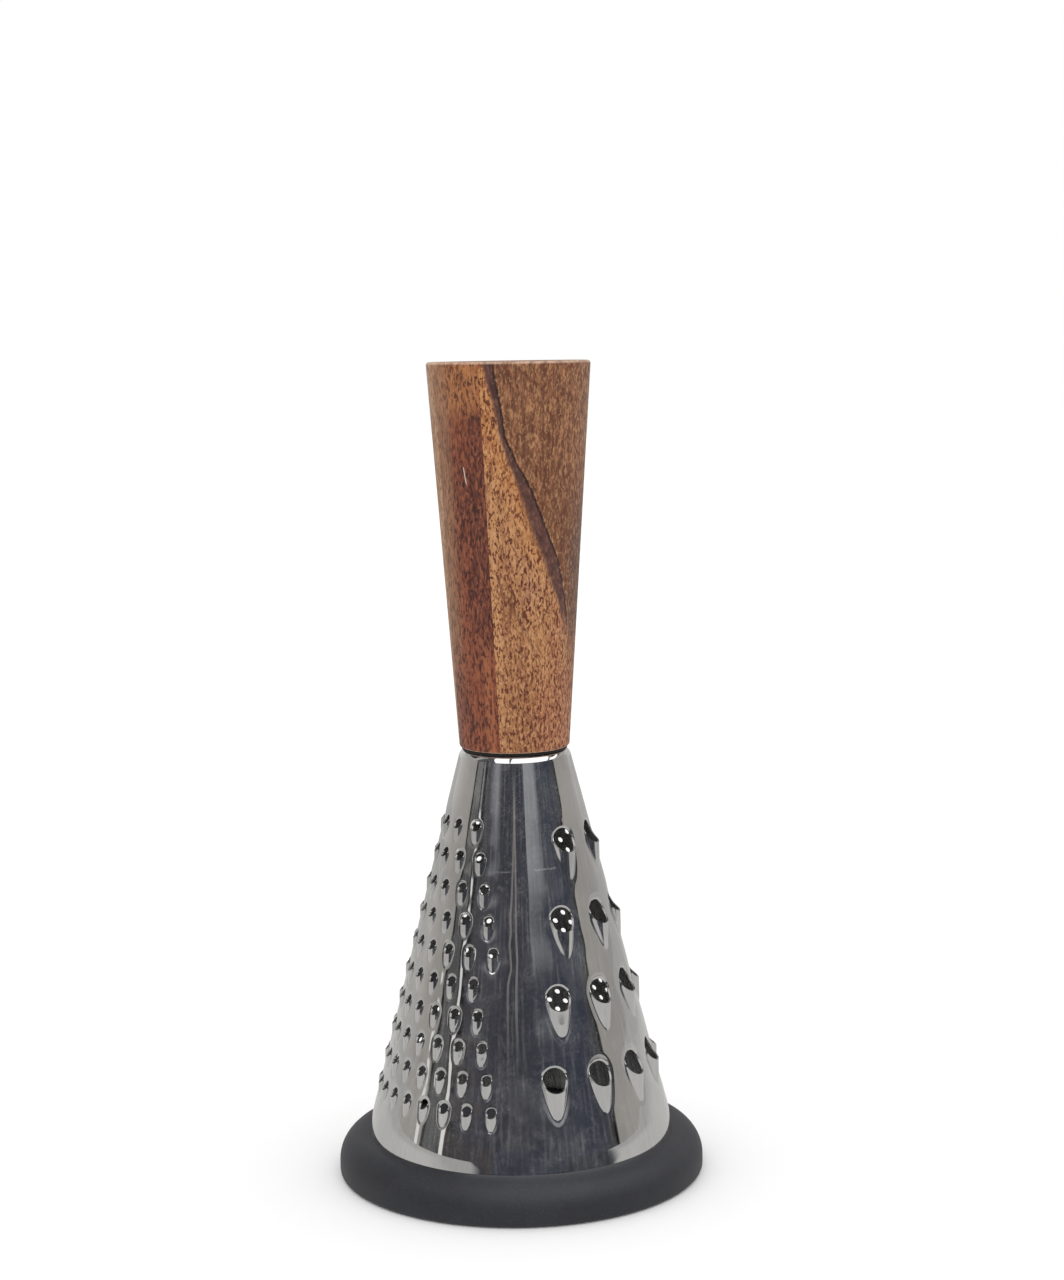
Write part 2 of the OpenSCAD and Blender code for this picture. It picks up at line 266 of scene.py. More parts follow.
def make_room():
    """White for the camera, soft light from all round for the object, and the studio for its steel."""
    world = bpy.data.worlds.new("studio")
    bpy.context.scene.world = world
    world.use_nodes = True
    world.node_tree.nodes.clear()
    net = Wire(world.node_tree)
    east, north, height = net.make("ShaderNodeTexCoord", output="Generated").apart()
    walls = wall_light(net, turn_of(east, north) * DEGREES, height)
    studio = ceiling_light(net, walls, east, north, height)
    camera_ray = net.make("ShaderNodeLightPath", output="Is Camera Ray")
    soft = height.rise(-0.2, 1.0) * 0.3 + 0.86
    glow = net.make("ShaderNodeBackground", inputs={"Color": WHITE, "Strength": soft})
    mirror = net.make("ShaderNodeBackground", inputs={"Color": studio, "Strength": 1.0})
    white = net.make("ShaderNodeBackground", inputs={"Color": WHITE, "Strength": 1.0})
    lit = net.make("ShaderNodeMixShader", inputs={0: camera_ray.other("Is Glossy Ray"), 1: glow, 2: mirror})
    net.make("ShaderNodeMixShader", inputs={0: camera_ray, 1: lit, 2: white}).end("ShaderNodeOutputWorld")


def make_floor():
    """White paper, which glows for the steel as a bright sheet with a dim middle and a dark front; the dim
    middle is painted shade under the cone.
    """
    mesh = bpy.data.meshes.new("floor")
    corners = [(x * FLOOR_HALF, y * FLOOR_HALF, 0) for x, y in ((-1, -1), (1, -1), (1, 1), (-1, 1))]
    mesh.from_pydata(corners, [], [(0, 1, 2, 3)])
    floor = into_scene("floor", mesh)
    material, net = new_material("floor_paper")
    where = net.make("ShaderNodeTexCoord", output="Object")
    far = net.make("ShaderNodeVectorMath", {"operation": "LENGTH"}, {0: where}, 1)
    east, north, _ = where.apart()
    turn = turn_of(east, north) * DEGREES
    paper_light = far.rise(0.2, 0.6).blend(NEAR_PAPER, FAR_PAPER)
    dark = turn.span(-38, -28, 64, 74) * far.rise(0.23, 0.28)
    paper_light = dark.blend(paper_light, FRONT_DARK)
    # Painted shade: under the cone the paper's glow is dim, as the cone shades the paper there
    dim = far.rise(0.02, 0.046).blend(INSIDE_DARK, INSIDE_RIM)
    paper_light = far.rise(0.047, 0.049).blend(dim, paper_light)
    shine = net.make("ShaderNodeEmission", inputs={"Color": paper_light, "Strength": 1.0})
    camera_ray = net.make("ShaderNodeLightPath", output="Is Camera Ray")
    paper = net.make("ShaderNodeBsdfDiffuse", inputs={"Color": WHITE, "Roughness": 0.0})
    shade = net.make("ShaderNodeBsdfDiffuse", inputs={"Color": (0.8, 0.8, 0.79, 1)})
    # Painted light: inside the ring the floor glows for all but camera and glossy rays, standing in for
    # daylight that comes in at the openings, and lifts the inside of the cone a little
    inside_glow = far.fade(0.044, 0.046) * 2.0
    inside = net.make("ShaderNodeEmission", inputs={"Color": WHITE, "Strength": inside_glow})
    shade = net.make("ShaderNodeAddShader", inputs={0: shade, 1: inside})
    lit = net.make("ShaderNodeMixShader", inputs={0: camera_ray.other("Is Glossy Ray"), 1: shade, 2: shine})
    seen = net.make("ShaderNodeMixShader", inputs={0: camera_ray, 1: lit, 2: paper})
    seen.end("ShaderNodeOutputMaterial")
    mesh.materials.append(material)


# Finishes
def new_material(name):
    material = bpy.data.materials.new(name)
    material.use_nodes = True
    material.node_tree.nodes.clear()
    return material, Wire(material.node_tree)


def coat(made, colour, rough, metal, bumps, depth, strength, **constants):
    """Ends a new material. Colour, roughness, metal and bumps may be wires; the constants are set once."""
    material, net = made
    bump = net.make("ShaderNodeBump", inputs={"Height": bumps, "Distance": depth, "Strength": strength})
    inputs = {"Base Color": colour, "Roughness": rough, "Metallic": metal, "Normal": bump}
    inputs.update({key.replace("_", " "): value for key, value in constants.items()})
    net.make("ShaderNodeBsdfPrincipled", inputs=inputs).end("ShaderNodeOutputMaterial")
    return material


def place_parts(net):
    """The place in millimetres, and its three parts."""
    where = net.make("ShaderNodeTexCoord", output="Object")
    place = stretched(net, where, (1 / MM, 1 / MM, 1 / MM))
    return place, *place.apart()


def stretched(net, place, scale, shift=(0, 0, 0)):
    return net.make("ShaderNodeMapping", inputs={"Vector": place, "Scale": scale, "Location": shift})


def noise(net, where, scale, detail, rough, twist=0.0, output=0):
    return net.make(
        "ShaderNodeTexNoise",
        {"noise_dimensions": "3D"},
        {"Vector": where, "Scale": scale, "Detail": detail, "Roughness": rough, "Distortion": twist},
        output,
    )


# Two tones each for the polished outside and the duller inside
POLISHED = ((0.60, 0.60, 0.60, 1), (0.665, 0.66, 0.65, 1))
DULL = ((0.27, 0.265, 0.26, 1), (0.36, 0.355, 0.345, 1))
# Faint level rubs on the front of the cone: first and last turn, and height in millimetres
RUBS = [(-0.3, -0.05, 94.8), (0.2, 0.52, 95.2)]


def steel_finish(name, tones, rough_low, rough_high):
    """Steel with fine marks up the slope, a cloudy haze and two faint rubs."""
    made = new_material(name)
    net = made[1]
    place, east, north, height = place_parts(net)
    turn = turn_of(east, north)
    # Polish marks run up the cone, so the pattern is laid over turn and height
    laid = net.make(
        "ShaderNodeCombineXYZ", inputs={0: turn * 30, 1: height * 0.05, 2: turn.sum("SINE", turn) * 4}
    )
    marks = noise(net, laid, 1.3, 5.0, 0.62)
    fine = noise(net, laid, 9.0, 3.0, 0.7)
    cloud = noise(net, place, 0.05, 4.0, 0.62)
    grit = noise(net, place, 1.1, 4.0, 0.75)
    smear = noise(net, place, 0.16, 5.0, 0.7, 0.6)
    rough = rough_low + (rough_high - rough_low) * (marks.rise(0.42, 0.72) * 0.5 + cloud.rise(0.4, 0.7) * 0.5)
    colour = (marks * 0.5 + cloud * 0.5).rise(0.38, 0.64).blend(*tones)
    haze = cloud.rise(0.46, 0.62) * 0.3 + smear.rise(0.5, 0.64) * (grit.rise(0.35, 0.6) * 0.8 + 0.2) * 0.5
    haze = haze + marks.rise(0.49, 0.66) * 0.48 + grit.rise(0.5, 0.7) * 0.45
    for first, last, z in RUBS:
        off = height - z + (grit - 0.5) * 1.2
        rub = turn.span(first, first + 0.03, last - 0.03, last) * abs(off).fade(0.1, 0.35)
        haze = haze + rub * (cloud.rise(0.3, 0.6) + 0.4)
    # Haze scatters light, so the steel is a little less metallic there
    return coat(made, colour, rough, 1.0 - haze * 0.13, marks * 0.8 + fine * 0.2, 0.00001, 0.07)


# Grating sheet, in millimetres
TOP_R, TOP_Z = 15.95, 127.2
FOOT_R, RIM_Z = 47.95, 3.4
SLOPE = (FOOT_R - TOP_R) / (TOP_Z - RIM_Z)
LEAN = math.atan(SLOPE)
LEAN_SIN, LEAN_COS = math.sin(LEAN), math.cos(LEAN)
APEX_Z = TOP_Z + TOP_R / SLOPE
SHEET_T = 0.5
SHOULDER_R, SHOULDER_STEPS = 3.2, 12
# The steeper band above the rim: its top, how much steeper it stands, and how softly it sets in
BAND_Z, BAND_BEND, BAND_SOFT = 17.45, math.radians(4.6), 0.8
# The hole that the screw passes through, and the rings of the flat web round it
PASS_R = 2.8
WEB_RINGS = (11.0, 8.0, 5.2, PASS_R)
SEAM_TURN = math.radians(117.7)
SEAM_LOW = SEAM_TURN - 2 * math.pi
MEDIUM_TURN, COARSE_TURN, FINE_TURN = (math.radians(a) for a in (-62.3, 57.7, 177.7))
ZONE_ANGLE = math.radians(120)

# Rows of teeth: heights, counts and distances
COARSE_ROWS = [(102.5, 2), (80.8, 3), (59.4, 4), (37.35, 5)]
COARSE_PITCH = 14.6
MEDIUM_COUNTS = (4, 5, 6, 7, 8, 7, 8, 9, 10, 11)
MEDIUM_TOP_Z, MEDIUM_STEP, MEDIUM_PITCH = 107, 8.68, 7.36
FINE_TOP_Z, FINE_FOOT_Z, FINE_STEP, FINE_PITCH = 107, 31, 3.03, 5.25
FINE_MARGIN = 11

# The sheet's own points: between rows, along a row, along its upper edge, and clear of each tooth
ROW_STEP, POINT_STEP, TOP_POINTS, CLEAR = 2.1, 2.4, 96, 0.75
# Points of the sheet and of the teeth that lie closer than this are one
WELD_GAP = 0.004


def slant(z):
    """Distance from the apex down the slope to height z."""
    return (APEX_Z - z) / LEAN_COS


def cone_r(z):
    return SLOPE * (APEX_Z - z)


def row(middle, count, pitch, z):
    return [(middle + (k - (count - 1) / 2) * pitch / cone_r(z), z) for k in range(count)]


def coarse_places():
    return [p for z, count in COARSE_ROWS for p in row(COARSE_TURN, count, COARSE_PITCH, z)]


def medium_places():
    rows = [(count, MEDIUM_TOP_Z - MEDIUM_STEP * i) for i, count in enumerate(MEDIUM_COUNTS)]
    return [p for count, z in rows for p in row(MEDIUM_TURN, count, MEDIUM_PITCH, z)]


def fine_places():
    """Rows across their zone, with even and odd counts by turns, so that the holes stand staggered."""
    places = []
    for i in range(int((FINE_TOP_Z - FINE_FOOT_Z) / FINE_STEP) + 1):
        z = FINE_TOP_Z - i * FINE_STEP
        width = cone_r(z) * ZONE_ANGLE - FINE_MARGIN
        count = 2 * int((width / FINE_PITCH + 1 - i % 2) / 2) + i % 2
        places += row(FINE_TURN, count, FINE_PITCH, z)
    return places


def full_turn(count):
    return [2 * math.pi * i / count for i in range(count)]


# The edge over an opening is pressed in out to this many times the opening's radius
PRESSED = 1.17


class Tooth:
    """One punched tooth on the flat sheet: x along the row, y up the slope, z out."""

    def __init__(self, hole, long, wide, blunt, lip, press, margin, dish, around, rings):
        self.hole, self.long, self.wide, self.blunt = hole / 2, long, wide / 2, blunt
        self.lip, self.press, self.margin, self.dish = lip, press, margin, dish
        self.around, self.rings = around, rings

    def edge(self, share, beyond=0.0):
        """A loop from the opening (0) to the outline of the tongue (1), or beyond it."""
        loop = []
        for a in full_turn(self.around):
            c, s = math.cos(a), math.sin(a)
            # Below is the tongue's own outline, a parabola where blunt is 2 and fuller where it is less
            drop = -(self.long + beyond) * (-s) ** self.blunt if s < 0 else (self.hole * PRESSED + beyond) * s
            side = (self.wide + beyond) * c
            near_x, near_y = self.hole * c * (1 - share), self.hole * s * (1 - share)
            loop.append((near_x + side * share, near_y + drop * share))
        return np.array(loop)

    def height(self, xy):
        """Height of the sheet's face over the flat: tongue, pressed upper edge and shallow dish."""
        x, y = xy[:, 0], xy[:, 1]
        h, t, w = self.hole, self.long, self.wide
        # The tongue's ridge rises from its point to the lip, and falls to both sides
        ridge = self.lip * (t + y) / (t - h)
        across = 1 - np.clip(-y / t, 0, None) ** (2 / self.blunt)
        fall = (x * x / (w * w * np.maximum(across, 0.02))) ** 1.4
        bump = ridge - np.maximum(ridge, 0.05 * self.lip) * fall
        soft = 0.03 * self.lip
        bump = (bump + np.sqrt(bump * bump + 4 * soft * soft)) / 2
        bump *= 1 - step(-0.25 * h, 0.55 * h, y)
        # The edge over the opening bends inwards
        bent = np.clip((PRESSED * h - np.hypot(x, y)) / (PRESSED * h - h), 0, 1)
        pressed = self.press * (np.sqrt(bent * bent + 0.04) - 0.2) * step(-0.45 * h, 0.5 * h, y)

        def measure(beyond):
            """1 on the tongue's outline, moved out by beyond, and less inside it."""
            low = (np.clip(-y, 0, None) / (t + beyond)) ** (2 / self.blunt)
            return np.sqrt((x / (w + beyond)) ** 2 + np.where(y < 0, low, (y / (PRESSED * h + beyond)) ** 2))

        # How far a point lies from the tongue's outline (0) towards the last loop (1)
        past, left = measure(0) - 1, 1 - measure(self.margin)
        share = np.where(past < 0, 0, np.where(left < 0, 1, past / np.maximum(past + left, 1e-6)))
        sunk = self.dish * (1 - step(0, 1, share))
        return bump - pressed - sunk * (1 - step(0, 0.5 * self.lip, bump))

    def mesh(self, name):
        """The die that forms one tooth, flat at its last loop."""
        loops = [self.edge(share, beyond) for share, beyond in self.rings]
        points = np.concatenate(loops)
        nudge = 0.01

        def slope(way):
            return (self.height(points + way) - self.height(points - way)) / (2 * nudge)

        z, dx, dy = self.height(points), slope([nudge, 0]), slope([0, nudge])
        for value in (z, dx, dy):
            value[-self.around:] = 0
        n = self.around
        faces = [
            (k * n + i, (k + 1) * n + i, (k + 1) * n + (i + 1) % n, k * n + (i + 1) % n)
            for k in range(len(loops) - 1)
            for i in range(n)
        ]
        normals = unit(np.stack([-dx, -dy, np.ones(len(z))], 1))
        return flat_mesh(name, np.column_stack([points, z]), faces, normals)


class Burr(Tooth):
    """A small round hole with its edge raised all round."""

    def __init__(self, hole, reach, lip, around, rings):
        self.hole, self.reach, self.lip, self.around, self.rings = hole / 2, reach, lip, around, rings

    def edge(self, share, beyond=0.0):
        out = self.hole * (1 - share) + self.reach * share + beyond
        return np.array([(out * math.cos(a), out * math.sin(a)) for a in full_turn(self.around)])

    def height(self, xy):
        return self.lip * (1 - step(self.hole * 0.9, self.reach, np.hypot(xy[:, 0], xy[:, 1])))


def step(low, high, value):
    share = np.clip((value - low) / (high - low), 0, 1)
    return share * share * (3 - 2 * share)


def unit(vectors):
    return vectors / np.linalg.norm(vectors, axis=1)[:, None]


def flat_mesh(name, points, faces, normals):
    mesh = bpy.data.meshes.new(name)
    mesh.from_pydata([tuple(p) for p in points], [], faces)
    facing = mesh.attributes.new("facing", "FLOAT_VECTOR", "POINT")
    facing.data.foreach_set("vector", np.asarray(normals, np.float32).ravel())
    return into_scene(name, mesh)


COARSE = Tooth(
    hole=7.3, long=11.4, wide=7.8, blunt=1.7, lip=2.0, press=0.42, margin=2.0, dish=0.11, around=48,
    rings=[(0, 0), (0.08, 0), (0.25, 0), (0.45, 0), (0.65, 0), (0.82, 0), (0.93, 0), (1, 0), (1, 0.15),
           (1, 0.6), (1, 1.3), (1, 2.0)],
)
MEDIUM = Tooth(
    hole=3.0, long=5.2, wide=3.35, blunt=0.9, lip=0.85, press=0.2, margin=0.95, dish=0.08, around=24,
    rings=[(0, 0), (0.15, 0), (0.45, 0), (0.8, 0), (1, 0), (1, 0.12), (1, 0.4), (1, 0.68), (1, 0.95)],
)
FINE = Burr(hole=1.9, reach=1.7, lip=0.3, around=10, rings=[(0, 0), (0.4, 0), (1, 0)])


def on_flat(turn, z):
    """Where a place on the cone lies on the unrolled sheet, and its turn there."""
    bend = turn * LEAN_SIN
    return slant(z) * math.sin(bend), -slant(z) * math.cos(bend), bend


def band_drop(length):
    """How far the steeper band above the rim falls inside the cone's line, and its slope."""
    past = length - slant(BAND_Z)
    root = np.sqrt(past * past + BAND_SOFT**2)
    return BAND_BEND * (past + root) / 2, BAND_BEND * (1 + past / root) / 2


def unroll(turn):
    """A turn from the middle of the sheet, between the seam's two edges."""
    return (turn - SEAM_LOW) % (2 * math.pi) + SEAM_LOW


def tooth_loops(teeth):
    """The outline of every tooth, laid on the flat sheet."""
    loops = []
    for tooth, places in teeth:
        outline = tooth.edge(*tooth.rings[-1])
        for turn, z in places:
            x, y, bend = on_flat(unroll(turn), z)
            c, s = math.cos(bend), math.sin(bend)
            loops.append(outline @ np.array([[c, s], [-s, c]]) + [x, y])
    return loops


def make_blank(teeth):
    """The flat sheet round the teeth, as a mesh of small triangles."""
    points, edges = [], []
    loops = tooth_loops(teeth)
    for loop in loops:
        first, count = len(points), len(loop)
        points += [tuple(p) for p in loop]
        edges += [(first + i, first + (i + 1) % count) for i in range(count)]
    owner = dict(enumerate(number for number, loop in enumerate(loops) for _ in loop))
    boxes = [(loop.min(0) - 0.9, loop.max(0) + 0.9, loop) for loop in loops]
    low, high = SEAM_LOW, SEAM_TURN
    top, foot = slant(TOP_Z - SHOULDER_R + SHOULDER_R * LEAN_SIN), slant(RIM_Z)
    rows = int(round((foot - top) / ROW_STEP))
    top_row, low_seam, high_seam = set(), set(), set()
    for i in range(rows + 1):
        length = top + (foot - top) * i / rows
        around = int(round(2 * math.pi * length * LEAN_SIN / POINT_STEP))
        count = TOP_POINTS if i == 0 else around
        shift = 0.5 * (i % 2) if 0 < i < rows else 0
        between = range(0 if shift else 1, count)
        turns = [low, high] + [low + (high - low) * (k + shift) / count for k in between]
        for turn in turns:
            bend = turn * LEAN_SIN
            spot = np.array([length * math.sin(bend), -length * math.cos(bend)])
            if turn not in (low, high) and any(
                (lo <= spot).all() and (spot <= hi).all() and near(spot, loop, CLEAR)
                for lo, hi, loop in boxes
            ):
                continue
            for chosen, border in ((i == 0, top_row), (turn == low, low_seam), (turn == high, high_seam)):
                if chosen:
                    border.add(len(points))
            points.append(tuple(spot))
    kept, _, faces, origin, _, _ = delaunay_2d_cdt([Vector(p) for p in points], edges, [], 0, 1e-6)
    # Faces inside a tooth, across the open top, and slivers along a seam edge belong to no sheet
    solid = []
    for face in faces:
        corners = {origin[i][0] for i in face}
        owners = {owner.get(i) for i in corners}
        if len(owners) == 1 and None not in owners:
            continue
        if any(corners <= border for border in (top_row, low_seam, high_seam)):
            continue
        solid.append(face)
    flat = np.array([tuple(p) for p in kept])
    drop, fall = band_drop(np.hypot(flat[:, 0], flat[:, 1]))
    normals = unit(np.stack([np.zeros(len(flat)), -fall, np.ones(len(flat))], 1))
    blank = flat_mesh("blank", np.column_stack([flat, -drop]), solid, normals)
    bend = blank.data.attributes.new("bend", "FLOAT", "POINT")
    bend.data.foreach_set("value", np.arctan2(flat[:, 0], -flat[:, 1]).astype(np.float32))
    return blank


def near(spot, loop, gap):
    """True if the spot is inside the loop or closer to it than the gap."""
    a, b = loop, np.roll(loop, -1, 0)
    side = (b[:, 0] - a[:, 0]) * (spot[1] - a[:, 1]) - (b[:, 1] - a[:, 1]) * (spot[0] - a[:, 0])
    if (side > 0).all() or (side < 0).all():
        return True
    along = np.clip(((spot - a) * (b - a)).sum(1) / ((b - a) ** 2).sum(1), 0, 1)
    return np.hypot(*(a + (b - a) * along[:, None] - spot).T).min() < gap


def punching_tree(sizes):
    """Sets a tooth at each marked place of the flat sheet, welds it in and rolls the sheet to a cone."""
    tree = bpy.data.node_groups.new("punch_and_roll", "GeometryNodeTree")
    face = tree.interface
    face.new_socket("Sheet", in_out="INPUT", socket_type="NodeSocketGeometry")
    sockets = [
        face.new_socket(name, in_out="INPUT", socket_type="NodeSocket" + kind).identifier
        for name, kind, _ in sizes
    ]
    face.new_socket("Cone", in_out="OUTPUT", socket_type="NodeSocketGeometry")
    net = Wire(tree)
    ports = tree.nodes.new("NodeGroupInput")

    def port(name):
        return Wire(tree, ports.outputs[name])

    def join(*pieces):
        joined = tree.nodes.new("GeometryNodeJoinGeometry")
        for piece in pieces:
            tree.links.new(piece.socket, joined.inputs[0])
        return Wire(tree, joined.outputs[0])

    def weld(piece):
        inputs = {"Geometry": piece, "Distance": port("Weld gap")}
        return net.make("GeometryNodeMergeByDistance", inputs=inputs)

    places = net.make("GeometryNodeObjectInfo", inputs={"Object": port("Places")}, output="Geometry")
    kind = net.make("GeometryNodeInputNamedAttribute", {"data_type": "INT"}, {"Name": "kind"})
    bend = net.make("GeometryNodeInputNamedAttribute", {"data_type": "FLOAT"}, {"Name": "bend"})
    turned_by = net.make(
        "FunctionNodeEulerToRotation", inputs={0: net.make("ShaderNodeCombineXYZ", inputs={2: bend})}
    )
    punched = []
    for number, name in enumerate(("Coarse tooth", "Medium tooth", "Fine tooth")):
        tooth = net.make(
            "GeometryNodeObjectInfo", inputs={"Object": port(name), "As Instance": True}, output="Geometry"
        )
        chosen = net.make(
            "FunctionNodeCompare", {"data_type": "INT", "operation": "EQUAL"}, {"A": kind, "B": number}
        )
        punched.append(net.make(
            "GeometryNodeInstanceOnPoints",
            inputs={"Points": places, "Selection": chosen, "Instance": tooth, "Rotation": turned_by},
        ))
    teeth = net.make("GeometryNodeRealizeInstances", inputs={0: join(*punched)})
    welded = weld(join(teeth, port("Sheet")))
    x, y, z = net.make("GeometryNodeInputPosition").apart()
    lean = port("Lean")
    cosine, sine = net.sum("COSINE", lean), net.sum("SINE", lean)
    length = reach_of(x, y)
    turn = turn_of(x, y) / sine
    reach = length * sine + z * cosine
    height = port("Apex height") - length * cosine + z * sine
    rolled = net.make(
        "ShaderNodeCombineXYZ",
        inputs={0: reach * net.sum("SINE", turn), 1: -(reach * net.sum("COSINE", turn)), 2: height},
    )
    closed = weld(net.make("GeometryNodeSetPosition", inputs={"Geometry": welded, "Position": rolled}))
    real = net.make("GeometryNodeRealizeInstances", inputs={0: closed})
    done = net.make("GeometryNodeSetMaterial", inputs={"Geometry": real, "Material": port("Finish")})
    done.end("NodeGroupOutput", 0)
    return tree, sockets


def rolled_sheet(finish):
    """The punched cone's outer face, as points in millimetres, faces and normals."""
    kinds = [(COARSE, coarse_places()), (MEDIUM, medium_places()), (FINE, fine_places())]
    blank = make_blank(kinds)
    spots = [(on_flat(unroll(t), z), k) for k, (_, places) in enumerate(kinds) for t, z in places]
    marks = bpy.data.meshes.new("tooth_places")
    marks.from_pydata([(x, y, 0) for (x, y, _), _ in spots], [], [])
    marks.attributes.new("kind", "INT", "POINT").data.foreach_set("value", [kind for _, kind in spots])
    marks.attributes.new("bend", "FLOAT", "POINT").data.foreach_set("value", [at[2] for at, _ in spots])
    marks = into_scene("tooth_places", marks)
    dies = [COARSE.mesh("coarse_die"), MEDIUM.mesh("medium_die"), FINE.mesh("fine_die")]
    sizes = [
        ("Places", "Object", marks), ("Coarse tooth", "Object", dies[0]),
        ("Medium tooth", "Object", dies[1]), ("Fine tooth", "Object", dies[2]),
        ("Apex height", "Float", APEX_Z), ("Lean", "Float", LEAN),
        ("Weld gap", "Float", WELD_GAP), ("Finish", "Material", finish),
    ]
    modifier = blank.modifiers.new("punch_and_roll", "NODES")
    modifier.node_group, sockets = punching_tree(sizes)
    for socket, (_, _, value) in zip(sockets, sizes):
        modifier[socket] = value
    bpy.context.view_layer.update()
    graph = bpy.context.evaluated_depsgraph_get()
    mesh = bpy.data.meshes.new_from_object(blank.evaluated_get(graph))
    count = len(mesh.vertices)
    points, facing, bend = np.zeros(count * 3), np.zeros(count * 3), np.zeros(count)
    mesh.vertices.foreach_get("co", points)
    mesh.attributes["facing"].data.foreach_get("vector", facing)
    mesh.attributes["bend"].data.foreach_get("value", bend)
    faces = [tuple(p.vertices) for p in mesh.polygons]
    for made in (blank, marks, *dies):
        bpy.data.objects.remove(made)
    return points.reshape(-1, 3), facing.reshape(-1, 3), bend, faces


def cone_frame(turn):
    """Unit vectors round, up the slope and out of the cone at each turn."""
    s, c, zero = np.sin(turn), np.cos(turn), np.zeros(len(turn))
    around = np.stack([c, s, zero], 1)
    up = np.stack([-s * LEAN_SIN, c * LEAN_SIN, zero + LEAN_COS], 1)
    out = np.stack([s * LEAN_COS, -c * LEAN_COS, zero + LEAN_SIN], 1)
    return around, up, out


def grating_cone():
    outer = steel_finish("polished_steel", POLISHED, 0.015, 0.045)
    inner = steel_finish("satin_steel_inside", DULL, 0.22, 0.36)
    cut = steel_finish("sheared_steel_edge", DULL, 0.3, 0.4)
    points, facing, bend, faces = rolled_sheet(outer)
    turn = np.arctan2(points[:, 0], -points[:, 1])
    around, up, out = cone_frame(turn)
    # The face directions were drawn in each tooth's own frame, which lies turned by its bend
    own = unroll(turn) * LEAN_SIN - bend
    flat_x = facing[:, 0] * np.cos(own) + facing[:, 1] * np.sin(own)
    flat_y = -facing[:, 0] * np.sin(own) + facing[:, 1] * np.cos(own)
    normals = around * flat_x[:, None] + up * flat_y[:, None] + out * facing[:, 2:3]
    pull, around_fall, up_fall = pulled_in(points, turn)
    points = points + out * pull[:, None]
    normals = unit(normals - around * around_fall[:, None] - up * up_fall[:, None])
    points, normals, faces = add_shoulder(points, normals, faces)
    return walled("grating_sheet", points, normals, faces, SHEET_T, (outer, inner, cut))


# How deep the punch draws the sheet in round a tooth, and how far that reaches
PULLED = [(COARSE, coarse_places(), 0.22, 5.2), (MEDIUM, medium_places(), 0.17, 2.9)]


def pulled_in(points, turn):
    """How far the punch drew the sheet in at each point, and the slope of that round and up the cone."""
    bend = unroll(turn) * LEAN_SIN
    reach = np.hypot(points[:, 0], points[:, 1])
    length = (APEX_Z - points[:, 2]) * LEAN_COS + reach * LEAN_SIN
    spot = np.stack([length * np.sin(bend), -length * np.cos(bend)])
    pull, fall = np.zeros(len(length)), np.zeros(spot.shape)
    for tooth, places, deep, wide in PULLED:
        for place_turn, z in places:
            x, y, own = on_flat(unroll(place_turn), z)
            # The pull is deepest a little below the opening's middle
            below = tooth.long * 0.3
            off = spot - [[x + math.sin(own) * below], [y - math.cos(own) * below]]
            dip = -deep * np.exp(-(off * off).sum(0) / (2 * wide * wide))
            pull += dip
            fall -= dip * off / (wide * wide)
    # The pull fades out below the shoulder
    shoulder = slant(TOP_Z - SHOULDER_R)
    kept = step(shoulder - 1, shoulder + 6, length)
    fall_x, fall_y = fall * kept
    around_fall = fall_x * np.cos(bend) + fall_y * np.sin(bend)
    return pull * kept, around_fall, fall_y * np.cos(bend) - fall_x * np.sin(bend)


def add_shoulder(points, normals, faces):
    """Carries the sheet on from its upper edge, over the shoulder and in to the screw's hole."""
    arc_z = TOP_Z - SHOULDER_R
    arc_x = cone_r(arc_z) - SHOULDER_R / LEAN_COS
    top_z = arc_z + SHOULDER_R * LEAN_SIN
    edge = np.where(np.abs(points[:, 2] - top_z) < 0.01)[0]
    turns = np.arctan2(points[edge, 0], -points[edge, 1])
    order = np.argsort(turns)
    edge, turns = edge[order], turns[order]
    leans = [LEAN + (math.pi / 2 - LEAN) * (i + 1) / SHOULDER_STEPS for i in range(SHOULDER_STEPS)]
    profile = [(arc_x + SHOULDER_R * math.cos(a), arc_z + SHOULDER_R * math.sin(a), a) for a in leans]
    profile += [(r, TOP_Z, math.pi / 2) for r in WEB_RINGS]
    last, count = edge, len(edge)
    sines, cosines = np.sin(turns), np.cos(turns)
    for r, z, a in profile:
        this = np.arange(len(points), len(points) + count)
        rim = np.stack([r * sines, -r * cosines, np.full(count, z)], 1)
        away = np.stack([math.cos(a) * sines, -math.cos(a) * cosines, np.full(count, math.sin(a))], 1)
        points, normals = np.concatenate([points, rim]), np.concatenate([normals, away])
        for i in range(count):
            j = (i + 1) % count
            faces.append((int(last[i]), int(last[j]), int(this[j]), int(this[i])))
        last = this
    return points, normals, faces


